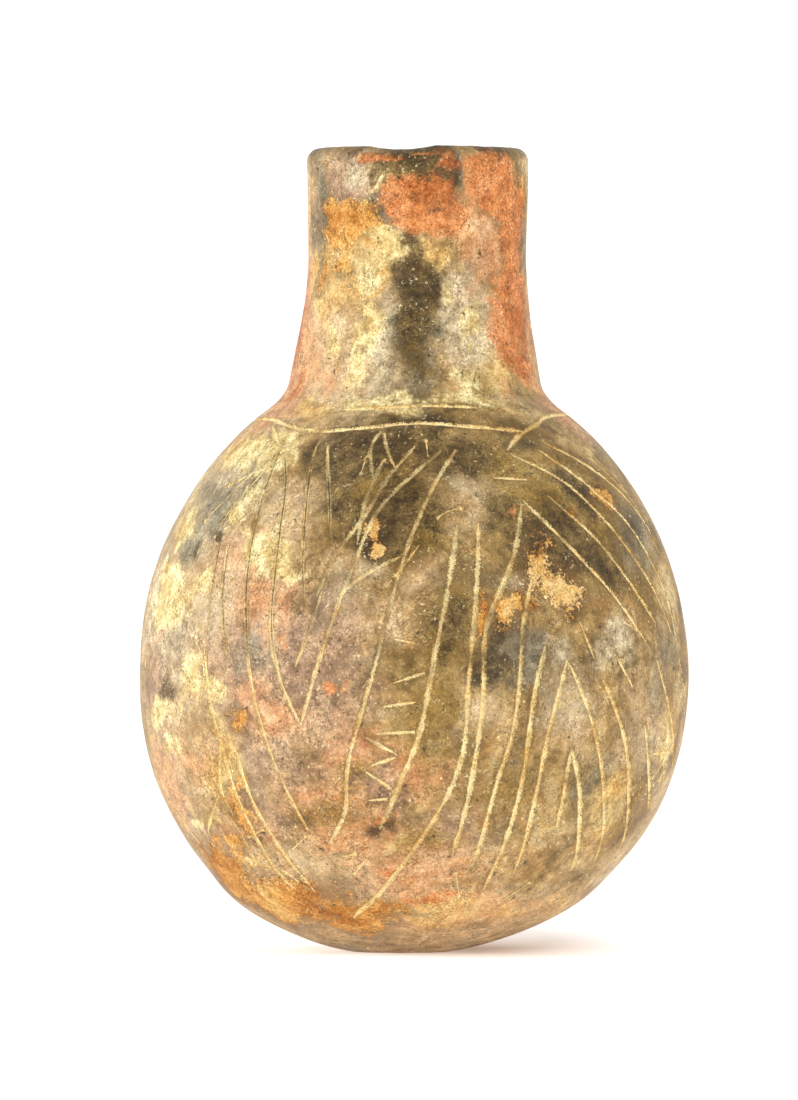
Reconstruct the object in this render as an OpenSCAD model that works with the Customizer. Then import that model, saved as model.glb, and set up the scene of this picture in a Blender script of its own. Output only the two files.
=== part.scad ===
// Engraved pottery bottle: a round-bellied jar with a tall cylindrical neck,
// built by hand in one piece of fired clay. Lines are cut into its wall.
// It stands on its own flat foot, with the mouth up and the front towards -Y.

/* [Body] */
// Widest diameter of the belly
body_d = 143; // [110:1:190]
// Height of the widest point above the ground
belly_h = 70; // [50:1:95]
// Rise from the widest point to the foot of the neck
shoulder_h = 74; // [50:1:95]
// Diameter of the flat that the bottle stands on
base_d = 26; // [16:1:44]
// How full the lower body is: 2 is an ellipse, more is squarer
belly_fullness = 2.1; // [1.8:0.05:2.6]
// Thickness of the body wall
body_wall = 6; // [4:0.5:8]
// Thickness of the bottom
floor_t = 7; // [5:0.5:12]

/* [Neck] */
// Diameter where the neck grows out of the shoulder
neck_foot_d = 67; // [64:1:80]
// Narrowest diameter of the neck
neck_d = 56.4; // [46:0.2:60]
// Height of the neck from its foot to the rim
neck_h = 65.5; // [45:0.5:95]
// Height over which the neck draws in from its foot
neck_sweep = 36; // [15:1:38]
// How far the soft corner at the foot reaches up and down
foot_blend = 4; // [2:0.5:7]
// How hard the neck draws in: 1 is a straight taper
neck_draw = 1.4; // [1.2:0.1:2.4]
// How much wider the mouth is than the narrowest part
mouth_flare = 0.8; // [0:0.2:6]
// Thickness of the neck wall
neck_wall = 5; // [4:0.5:6.5]

/* [Lip] */
// Height of the round on the outside of the lip
lip_h = 4.5; // [2:0.5:6]
// Depth of the round on the outside of the lip
lip_in = 3; // [1.5:0.5:3.5]
// Height of the round on the inside of the lip
lip_inner_h = 2.5; // [1:0.5:5]
// Depth of the worn dip in the rim
dip_h = 1; // [0.4:0.1:1.5]
// Width of the worn dip in the rim
dip_w = 19; // [12:1:26]
// Place of the worn dip: angle from the front, left is negative
dip_angle = -9; // [-60:1:60]

/* [Engraving] */
// Width of the main lines at the surface
line_w = 1.1; // [0.9:0.1:2]
// Width of the short ticks
tick_w = 0.9; // [0.7:0.1:1.5]
// Depth of every cut
line_depth = 0.8; // [0.5:0.1:1.1]
// Number of plain sweeps round the unseen back
back_sweeps = 13; // [6:1:16]

/* [Hidden] */

body_r = body_d / 2;
base_r = base_d / 2;
neck_foot_r = neck_foot_d / 2;
neck_r = neck_d / 2;
mouth_r = neck_r + mouth_flare / 2;
foot_h = belly_h + shoulder_h;
rim_h = foot_h + neck_h;

// Half-heights of the two curves that make the body, outside and inside
lower_a = belly_h / sqrt(1 - pow(base_r / body_r, belly_fullness));
upper_a = shoulder_h / sqrt(1 - pow(neck_foot_r / body_r, 2));
inner_r = body_r - body_wall;
inner_lower_a = belly_h - floor_t;
inner_upper_a = upper_a - body_wall;
inner_foot_r = neck_foot_r - neck_wall;

lower_steps = 14;
upper_steps = 14;
neck_steps = 10;
blend_steps = 4;
lip_steps = 5;
round_fn = 144;

clay = "#8f7650";
deposit = "#dcc389";

// A cut is a three-cornered bar sunk in the wall: it stands this far proud
bar_lift = 0.6;
// Longest straight piece of a line, and the run-out at its ends
line_step = 7;
run_out = 5;
end_share = 0.4;
// The heights below are set out on a body this high, and follow foot_h
drawn_h = 144;

// The strokes of the front, each from start to end as [angle, height].
// Angles are in degrees from the front, to the left below zero.

// The line round the foot of the neck and the shorter ones that meet it
collar_lines = [
    [[-90, 138], [-62, 138], [-36, 135], [-14, 136], [0, 137], [20, 136], [38, 135]],
    [[-28, 140.5], [-10, 141], [8, 141.5], [24, 141]],
    [[29, 130.5], [36, 134], [48, 137], [60, 139], [90, 139.5]],
    [[-56, 136], [-47, 132]],
];

// Long dark sweeps down the left
left_sweeps = [
    [[-44, 131], [-41, 115], [-38, 90], [-35, 68], [-31, 49], [-26, 33]],
    [[-41, 129], [-35, 120], [-32, 103], [-31, 84], [-28, 70], [-24, 60]],
    [[-31, 131], [-27, 114], [-25, 99], [-23, 88]],
    [[-27, 131], [-22, 119], [-19, 106]],
    [[-50, 106], [-49, 94], [-48, 84]],
    [[-47, 106], [-45, 92], [-42, 77]],
    [[-49, 79], [-47, 66], [-45, 54], [-43, 37], [-40, 22]],
    [[-45, 54], [-50, 45]],
    [[-41, 51], [-39, 39], [-34, 24]],
    [[-50, 41], [-60, 32]],
    [[-78, 48], [-76, 37], [-69, 28]],
    [[-75, 80], [-79, 72]],
];

// The fan that runs from the front of the neck down to the left
centre_fan = [
    [[-9, 127], [-12, 118], [-13, 106]],
    [[0, 131], [-7, 123], [-12, 113], [-18, 103], [-21, 93]],
    [[8, 130], [0, 124], [-9, 114], [-15, 95], [-19, 80], [-24, 60]],
    [[12, 130], [5, 121], [-1, 107], [-5, 91], [-9, 71], [-14, 51], [-16, 38], [-21, 30]],
    [[-3, 103], [-11, 98], [-16, 93]],
    [[-20, 94], [-22, 85], [-25, 75]],
    [[-10, 136], [-13, 131], [-11, 123]],
    [[-10, 135], [-8, 130], [-5, 125]],
];

// Long strokes down the middle and the right of the belly
belly_strokes = [
    [[10, 111], [7, 94], [4, 77], [1, 58], [-4, 43], [-8, 34]],
    [[15, 111], [13, 92], [11, 70], [10, 52], [4, 35], [-8, 18], [-20, 10]],
    [[27, 116], [22, 102], [15, 85], [14, 65], [12, 42], [10, 27]],
    [[26, 97], [23, 84], [21, 60], [18, 44], [16, 24]],
    [[28, 80], [25, 66], [24, 45], [22, 18]],
    [[33, 76], [29, 58], [28, 38], [29, 22]],
    [[35, 54], [35, 45], [36, 34]],
    [[35, 54], [39, 44], [43, 34], [50, 22]],
    [[34, 75], [40, 60], [47, 43], [58, 24]],
    [[42, 72], [50, 56], [58, 40], [69, 26]],
    [[57, 59], [63, 47], [72, 37]],
    [[61, 76], [69, 61], [80, 48]],
    [[74, 76], [81, 66]],
];

// The fan that sweeps over the right shoulder
shoulder_fan = [
    [[28, 117], [37, 106], [47, 94], [57, 81]],
    [[36, 118], [46, 108], [54, 97], [62, 86]],
    [[30, 128.5], [43, 122], [54, 110], [64, 95], [70, 83]],
    [[40, 130], [52, 121], [63, 110], [70, 95], [74, 78]],
    [[44, 132], [60, 124.5], [72, 114], [80, 99]],
    [[62, 128], [73, 118]],
];

// Short ticks between the two long strokes of the front, and a few others
ticks = [
    [[-4, 82], [0, 81]],
    [[-4, 71], [2, 73.5]],
    [[-6, 65], [0, 66]],
    [[-8, 58], [0, 58.5]],
    [[-10, 57], [-4, 53]],
    [[-9, 50], [-4, 52]],
    [[-10, 48], [-4, 43]],
    [[-10, 41], [-4, 41.5]],
    [[19, 123], [30, 122.5]],
    [[46, 78], [51, 70]],
    [[37, 86], [40, 77]],
    [[63, 52], [71, 52]],
];

// One plain sweep of the back, turned round it to make the rest
back_sweep = [[0, 130], [9, 112], [15, 90], [17, 66], [11, 40]];
back_collar = [[90, 139.5], [120, 138], [150, 137], [180, 136.5], [210, 137], [240, 138], [270, 138]];
back_from = 92;
back_to = 248;

// Radius of the outside at a height, on the body and on the neck's lower part
function lower_r(z) = body_r * pow(1 - pow((belly_h - z) / lower_a, 2), 1 / belly_fullness);
function upper_r(z) = body_r * sqrt(1 - pow((z - belly_h) / upper_a, 2));
function sweep_r(z) = neck_r + (neck_foot_r - neck_r) * pow(max(0, 1 - (z - foot_h) / neck_sweep), neck_draw);
function surface_r(z) = z < belly_h ? lower_r(z) : z < foot_h ? upper_r(z) : sweep_r(z);

// A point of the outside, and the direction straight out of it
function surface_point(p) = [surface_r(p.y) * sin(p.x), -surface_r(p.y) * cos(p.x), p.y];
function unit(v) = v / norm(v);
slope_gap = 0.5;
function surface_slope(z) = (surface_r(z + slope_gap) - surface_r(z - slope_gap)) / (2 * slope_gap);
function surface_normal(p) = unit([sin(p.x), -cos(p.x), -surface_slope(p.y)]);

// Smooth curve through hand-placed points: a to d are four in a row
function smooth_at(a, b, c, d, t) =
    (2 * b + (c - a) * t + (2 * a - 5 * b + 4 * c - d) * t * t
    + (3 * b - a - 3 * c + d) * t * t * t) / 2;
function on_body(stroke) = [for (p = stroke) [p.x, p.y * foot_h / drawn_h]];
function span_steps(a, b) = ceil(norm(surface_point(a) - surface_point(b)) / line_step);
function smooth_stroke(s) = [
    for (i = [0 : len(s) - 2])
        let (
            a = s[max(i - 1, 0)],
            b = s[i],
            c = s[i + 1],
            d = s[min(i + 2, len(s) - 1)],
            steps = span_steps(b, c)
        )
        for (k = [0 : i == len(s) - 2 ? steps : steps - 1]) smooth_at(a, b, c, d, k / steps)
];

// Half of the clay wall's section, from the axis out and back
function outer_profile() = [
    for (i = [0 : lower_steps])
        let (first = asin(pow(base_r / body_r, belly_fullness / 2)), a = first + (90 - first) * i / lower_steps)
        [body_r * pow(sin(a), 2 / belly_fullness), belly_h - lower_a * cos(a)],
    for (i = [1 : upper_steps])
        let (last = acos((foot_h - foot_blend - belly_h) / upper_a), a = 90 - (90 - last) * i / upper_steps)
        [body_r * sin(a), belly_h + upper_a * cos(a)],
    for (i = [1 : blend_steps - 1])
        foot_corner(i / blend_steps),
    for (i = [0 : neck_steps])
        let (z = foot_h + foot_blend + (neck_sweep - foot_blend) * i / neck_steps)
        [sweep_r(z), z],
];
// Curve that rounds the corner between the shoulder and the neck
function foot_corner(t) =
    let (
        low = [surface_r(foot_h - foot_blend), foot_h - foot_blend],
        corner = [neck_foot_r, foot_h],
        high = [surface_r(foot_h + foot_blend), foot_h + foot_blend]
    )
    low * (1 - t) * (1 - t) + corner * 2 * t * (1 - t) + high * t * t;
function lip_profile() = [
    for (i = [0 : lip_steps])
        let (a = 90 * i / lip_steps)
        [mouth_r - lip_in * (1 - cos(a)), rim_h - lip_h * (1 - sin(a))],
    for (i = [1 : lip_steps])
        let (a = 90 * i / lip_steps)
        [mouth_r - lip_in - (neck_wall - lip_in) * sin(a), rim_h - lip_inner_h * (1 - cos(a))],
];
function inner_profile() = [
    for (i = [neck_steps : -1 : 0])
        let (z = foot_h + neck_sweep * i / neck_steps)
        [sweep_r(z) - neck_wall, z],
    for (i = [upper_steps : -1 : 0])
        let (last = asin(inner_foot_r / inner_r), a = 90 - (90 - last) * i / upper_steps)
        [inner_r * sin(a), belly_h + inner_upper_a * cos(a)],
    for (i = [lower_steps - 1 : -1 : 0])
        let (a = 90 * i / lower_steps)
        [inner_r * sin(a), belly_h - inner_lower_a * cos(a)],
];

// The clay wall of body, neck and lip in one turn
module clay_wall() {
    color(clay)
        rotate_extrude($fn = round_fn)
            polygon(concat([[0, 0]], outer_profile(), lip_profile(), inner_profile()));
}

// One cut line: a three-cornered bar bent along the surface, thin at both ends
module cut_line(stroke, width) {
    path = smooth_stroke(on_body(stroke));
    last = len(path) - 1;
    spots = [for (p = path) surface_point(p)];
    function share(i) =
        min(1, end_share + min(norm(spots[i] - spots[0]), norm(spots[i] - spots[last])) / run_out);
    function ring(i) =
        let (
            out = surface_normal(path[i]),
            along = unit(spots[min(i + 1, last)] - spots[max(i - 1, 0)]),
            side = unit(cross(out, along)) * width / 2 * (share(i) + bar_lift / line_depth),
            top = spots[i] + out * bar_lift
        )
        [top + side, top - side, spots[i] - out * line_depth * share(i)];
    points = [for (i = [0 : last]) each ring(i)];
    faces = concat(
        [[0, 1, 2], [3 * last + 2, 3 * last + 1, 3 * last]],
        [for (i = [0 : last - 1], j = [0 : 2])
            let (a = 3 * i + j, b = 3 * i + (j + 1) % 3)
            each [[a, a + 3, b + 3], [a, b + 3, b]]]
    );
    polyhedron(points, faces);
}

module engraving() {
    color(deposit) {
        for (s = concat(collar_lines, left_sweeps, centre_fan, belly_strokes, shoulder_fan))
            cut_line(s, line_w);
        for (s = ticks) cut_line(s, tick_w);
        for (i = [0 : back_sweeps - 1])
            let (turn = back_from + (back_to - back_from) * i / (back_sweeps - 1))
            cut_line([for (p = back_sweep) [p.x + turn, p.y]], line_w);
        cut_line(back_collar, line_w);
    }
}

// The shallow hollow worn into the front of the rim
module lip_dip() {
    dip_r = (dip_w * dip_w / 4 + dip_h * dip_h) / (2 * dip_h);
    reach = 2 * neck_wall;
    color(clay)
        rotate([0, 0, dip_angle])
            translate([0, -mouth_r + reach, rim_h - dip_h + dip_r])
                rotate([90, 0, 0])
                    cylinder(h = 2 * reach, r = dip_r, $fn = round_fn);
}

module bottle() {
    difference() {
        clay_wall();
        engraving();
        lip_dip();
    }
}

bottle();
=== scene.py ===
"""Dresses the engraved pottery bottle: one vessel of fired clay with fire clouds, scuffs and cut lines."""
import math

import bpy
import numpy as np
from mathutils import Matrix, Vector, geometry, kdtree, noise


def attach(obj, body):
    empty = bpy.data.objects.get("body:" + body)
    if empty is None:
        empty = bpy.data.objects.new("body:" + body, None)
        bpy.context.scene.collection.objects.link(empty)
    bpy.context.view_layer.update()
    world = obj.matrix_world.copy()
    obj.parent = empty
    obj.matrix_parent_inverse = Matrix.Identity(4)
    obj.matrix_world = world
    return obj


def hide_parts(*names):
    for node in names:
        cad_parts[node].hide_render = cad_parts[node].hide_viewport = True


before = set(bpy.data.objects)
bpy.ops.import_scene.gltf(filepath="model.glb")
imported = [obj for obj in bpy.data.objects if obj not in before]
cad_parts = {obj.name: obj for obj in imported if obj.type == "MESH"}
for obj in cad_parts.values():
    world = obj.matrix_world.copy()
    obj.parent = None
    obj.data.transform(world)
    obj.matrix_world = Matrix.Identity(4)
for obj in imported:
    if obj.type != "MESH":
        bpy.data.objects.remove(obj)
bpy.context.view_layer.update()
MM = 0.001

# The bottle's form in millimetres and degrees, as the CAD part has it
BODY_R = 71.5
BELLY_H = 70.0
BASE_R = 13.0
BELLY_FULLNESS = 2.1
NECK_FOOT_R = 33.5
FOOT_H = 144.0
FOOT_BLEND = 4.0
NECK_R = 28.2
NECK_SWEEP = 36.0
NECK_DRAW = 1.4
MOUTH_R = 28.6
RIM_H = 209.5
LIP_H = 4.5
LIP_IN = 3.0
LIP_INNER_H = 2.5
NECK_WALL = 5.0
BODY_WALL = 6.0
FLOOR_T = 7.0
DIP_ANGLE = -9.0
DIP_W = 19.0
DIP_H = 1.0
LINE_W = 1.1
TICK_W = 0.9
SCRATCH_W = 0.5

# How far the hand-built form strays from the true one
NECK_LEAN = 1.0
NECK_LEAN_FROM = FOOT_H - 30
FOOT_SHIFT = -3.5
FOOT_SHIFT_H = 34.0
FOOT_SWELL = 1.2
FOOT_SWELL_H = 12.5
FOOT_SWELL_W = 9.0
RIM_WEAR = 0.9
# How deep a chip is, and between which values of its patch's field it slopes down
CHIP_DEPTH = 0.35
CHIP_EDGE = (-0.05, 0.35)
# The waves fade out below this height, so that the foot stays flat, and the inside has this share of them
FREE_H = 8.0
WAVE_INSIDE = 0.6
# Soft noises in layers, each as its height, its size and its shift
WALL_WAVES = ((0.55, 40.0, 0.0), (0.22, 16.0, 3.1), (0.06, 5.0, 7.7))
RIM_WAVES = ((0.22, 11.0, 5.0), (0.1, 3.0, 1.0))
# How far the edges of patches are pushed about, and the least radius at which that is turned into an angle
FRAY_ACROSS = ((4.5, 15.0, 2.3), (2.2, 5.5, 8.1))
FRAY_ALONG = ((4.5, 15.0, 6.7), (2.2, 5.5, 4.9))
LEAST_R = 5.0

# How deep the deposit leaves a cut, how round its groove is, and the burr beside it, whose place and width
# are in half widths of the cut, and whose height is a share of the depth
CUT_LEFT_OPEN = 0.45
GROOVE_ROUND = 0.85
BURR_AT, BURR_W, BURR_H = 1.35, 0.4, 0.05
# A cut narrows to this share of its width over its last few millimetres, and its width wavers along it
END_WIDTH = 0.35
RUN_OUT = 5.0
WOBBLE, WOBBLE_SIZE, WOBBLE_SHIFT = 0.4, 4.0, 0.37

# Mesh spacing in millimetres: plain wall, along a cut, and across it in shares of its half width
WALL_STEP = 1.55
CUT_STEP = 1.2
CUT_ROWS = (0.0, -1.0, 1.0, -1.7, 1.7, -0.5, 0.5)
# Plain points keep this many half widths of a line off the cuts, and all points this far from each other
PLAIN_GAP = 2.8
LEAST_GAP = 0.17
# Rows of even triangles lie this share of a step apart, and their points stray by this share of one
ROW_SHARE = 0.87
JITTER = 0.2
# How far plain points and the inside's first ring keep from the foot's edge and the lip
FOOT_MARGIN = 0.03
LIP_MARGIN = 0.4
BELOW_LIP = 3.0
# Points around the rim and the foot, and in the rings under the foot, as (share of its radius, points)
RIM_POINTS = 260
FOOT_POINTS = 64
FOOT_RINGS = ((0.75, 48), (0.5, 32), (0.25, 16))
# Points on each quarter round of the lip, down each stretch of the inside, and in the curves looked up
LIP_POINTS = 7
INNER_POINTS = 20
BODY_POINTS = 300
SWEEP_POINTS = 150
BLEND_POINTS = 40
# How many stretches of cut are tried for each point. One with no cut within FARTHEST half widths is plain,
# and the mesh keeps no gap above FAR.
NEIGHBOURS = 4
FARTHEST = 99.0
PLAIN_PALE = 0.5
FAR = 3.0
SEED = 11

# The cut lines of the front, each from start to end as (angle, height).
# Angles are in degrees from the front, to the left below zero.
COLLAR_LINES = [
    [(-90, 138), (-62, 138), (-36, 135), (-14, 136), (0, 137), (20, 136), (38, 135)],
    [(-28, 140.5), (-10, 141), (8, 141.5), (24, 141)],
    [(29, 130.5), (36, 134), (48, 137), (60, 139), (90, 139.5)],
    [(-56, 136), (-47, 132)],
]
LEFT_SWEEPS = [
    [(-44, 131), (-41, 115), (-38, 90), (-35, 68), (-31, 49), (-26, 33)],
    [(-41, 129), (-35, 120), (-32, 103), (-31, 84), (-28, 70), (-24, 60)],
    [(-31, 131), (-27, 114), (-25, 99), (-23, 88)],
    [(-27, 131), (-22, 119), (-19, 106)],
    [(-50, 106), (-49, 94), (-48, 84)],
    [(-47, 106), (-45, 92), (-42, 77)],
]
LOW_SWEEPS = [
    [(-49, 79), (-47, 66), (-45, 54), (-43, 37), (-40, 22), (-37, 18)],
    [(-45, 56), (-48, 44), (-47, 37)],
    [(-41, 53), (-39, 39), (-34, 24), (-30, 17)],
    [(-50, 41), (-60, 32)],
    [(-78, 48), (-76, 37), (-69, 28)],
    [(-75, 80), (-79, 72)],
]
CENTRE_FAN = [
    [(-9, 127), (-12, 118), (-13, 106)],
    [(0, 131), (-7, 123), (-12, 113), (-18, 103), (-21, 93)],
    [(8, 130), (0, 124), (-9, 114), (-15, 95), (-19, 80), (-24, 60)],
    [(12, 130), (5, 121), (-1, 107), (-5, 91), (-9, 71), (-14, 51), (-16, 38), (-21, 30)],
    [(-3, 103), (-11, 98), (-16, 93)],
    [(-20, 94), (-22, 85), (-25, 75)],
]
FAN_LOOPS = [
    [(-10, 136), (-13, 131), (-11, 123)],
    [(-10, 135), (-8, 130), (-5, 125)],
]
BELLY_STROKES = [
    [(10, 111), (7, 94), (4, 77), (1, 58), (-4, 43), (-8, 34)],
    [(15, 111), (13, 92), (11, 70), (10, 52), (4, 35), (-8, 18), (-20, 10)],
    [(27, 116), (22, 102), (15, 85), (14, 65), (12, 42), (10, 27)],
    [(26, 97), (23, 84), (21, 60), (18, 44), (16, 24)],
    [(28, 80), (25, 66), (24, 45), (22, 18)],
    [(33, 76), (29, 58), (28, 38), (29, 22)],
    [(35, 54), (35, 45), (36, 34)],
    [(35, 54), (39, 44), (43, 34), (50, 22)],
    [(34, 75), (40, 60), (47, 43), (58, 24)],
    [(42, 72), (50, 56), (58, 40), (69, 26)],
    [(57, 59), (63, 47), (72, 37)],
    [(61, 76), (69, 61), (80, 48)],
    [(74, 76), (81, 66)],
]
SHOULDER_FAN = [
    [(28, 117), (37, 106), (47, 94), (57, 81)],
    [(36, 118), (46, 108), (54, 97), (62, 86)],
    [(30, 128.5), (43, 122), (54, 110), (64, 95), (70, 83)],
    [(40, 130), (52, 121), (63, 110), (70, 95), (74, 78)],
    [(44, 132), (60, 124.5), (72, 114), (80, 99)],
    [(62, 128), (73, 118)],
]
TICKS = [
    [(-4, 82), (0, 81)],
    [(-4, 71), (2, 73.5)],
    [(-6, 65), (0, 66)],
    [(-8, 58), (0, 58.5)],
    [(-10, 57), (-4, 53)],
    [(-9, 50), (-4, 52)],
    [(-10, 48), (-4, 43)],
    [(-10, 41), (-4, 41.5)],
    [(21.5, 123), (30.5, 122.5)],
    [(46, 78), (51, 70)],
    [(37, 86), (40, 77)],
    [(63, 52), (71, 52)],
]
SCRATCHES = [
    [(-51, 40), (-47, 33), (-46, 26)],
    [(-54, 46), (-50, 47)],
    [(-44, 31), (-39, 33)],
    [(-46, 24), (-38, 22.5)],
    [(-41, 19), (-37, 22)],
    [(-32, 28), (-27, 31.5)],
    [(-36, 21), (-31, 17)],
    [(-48, 60), (-44, 54), (-43, 48)],
    [(-46, 128), (-55, 118), (-60, 112)],
    [(-44, 126), (-51, 115), (-53, 108)],
    [(-50, 124), (-57, 121)],
    [(-42, 120), (-46, 112)],
    [(-64, 96), (-58, 92), (-55, 88)],
    [(-66, 90), (-60, 88)],
    [(-52, 82), (-49, 74), (-50, 66)],
    [(-56, 74), (-52, 70)],
    [(5.5, 112.8), (8, 114.4), (11, 115.2)],
    [(1, 105.8), (-2, 101), (-6, 95.4)],
    [(3.5, 132.5), (3.8, 128.5)],
    [(-13.5, 130), (-14.5, 124)],
    [(50, 86), (54, 84)],
    [(66, 46), (74, 54)],
    [(68, 44), (73, 47)],
    [(64, 56), (70, 50), (72, 45)],
    [(12, 22), (15, 16)],
    [(30, 14), (36, 19)],
    [(-16, 22), (-12, 26)],
    [(-20, 26), (-15, 27)],
]
BACK_SWEEP = [(0, 130), (9, 112), (15, 90), (17, 66), (11, 40)]
BACK_COLLAR = [(90, 139.5), (120, 138), (150, 137), (180, 136.5), (210, 137), (240, 138), (270, 138)]
BACK_FROM, BACK_TO, BACK_SWEEPS = 92.0, 248.0, 13
# How far a sweep of the back strays, and the shares of it in its angle, height and bend
BACK_WANDER = 1.5
BACK_SHARES = (1, 2, 0.1)
# Each group of cuts: its lines, their width, and how pale their fill is above and below PALE_BELT
CUT_GROUPS = (
    (COLLAR_LINES, 1.15 * LINE_W, (1.0, 1.0)),
    (LEFT_SWEEPS, 0.9 * LINE_W, (0.65, 0.9)),
    (LOW_SWEEPS, LINE_W, (0.9, 1.0)),
    (CENTRE_FAN, 0.92 * LINE_W, (0.5, 0.8)),
    (BELLY_STROKES, 1.15 * LINE_W, (0.7, 0.95)),
    (SHOULDER_FAN, 0.88 * LINE_W, (0.85, 0.7)),
    (FAN_LOOPS, 0.9 * TICK_W, (0.5, 0.5)),
    (TICKS, TICK_W, (0.9, 0.9)),
    (SCRATCHES, SCRATCH_W, (0.8, 0.8)),
)
BACK_PALE = (0.6, 0.8)
COLLAR_PALE = (0.9, 0.9)
PALE_BELT = (62, 84)

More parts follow.
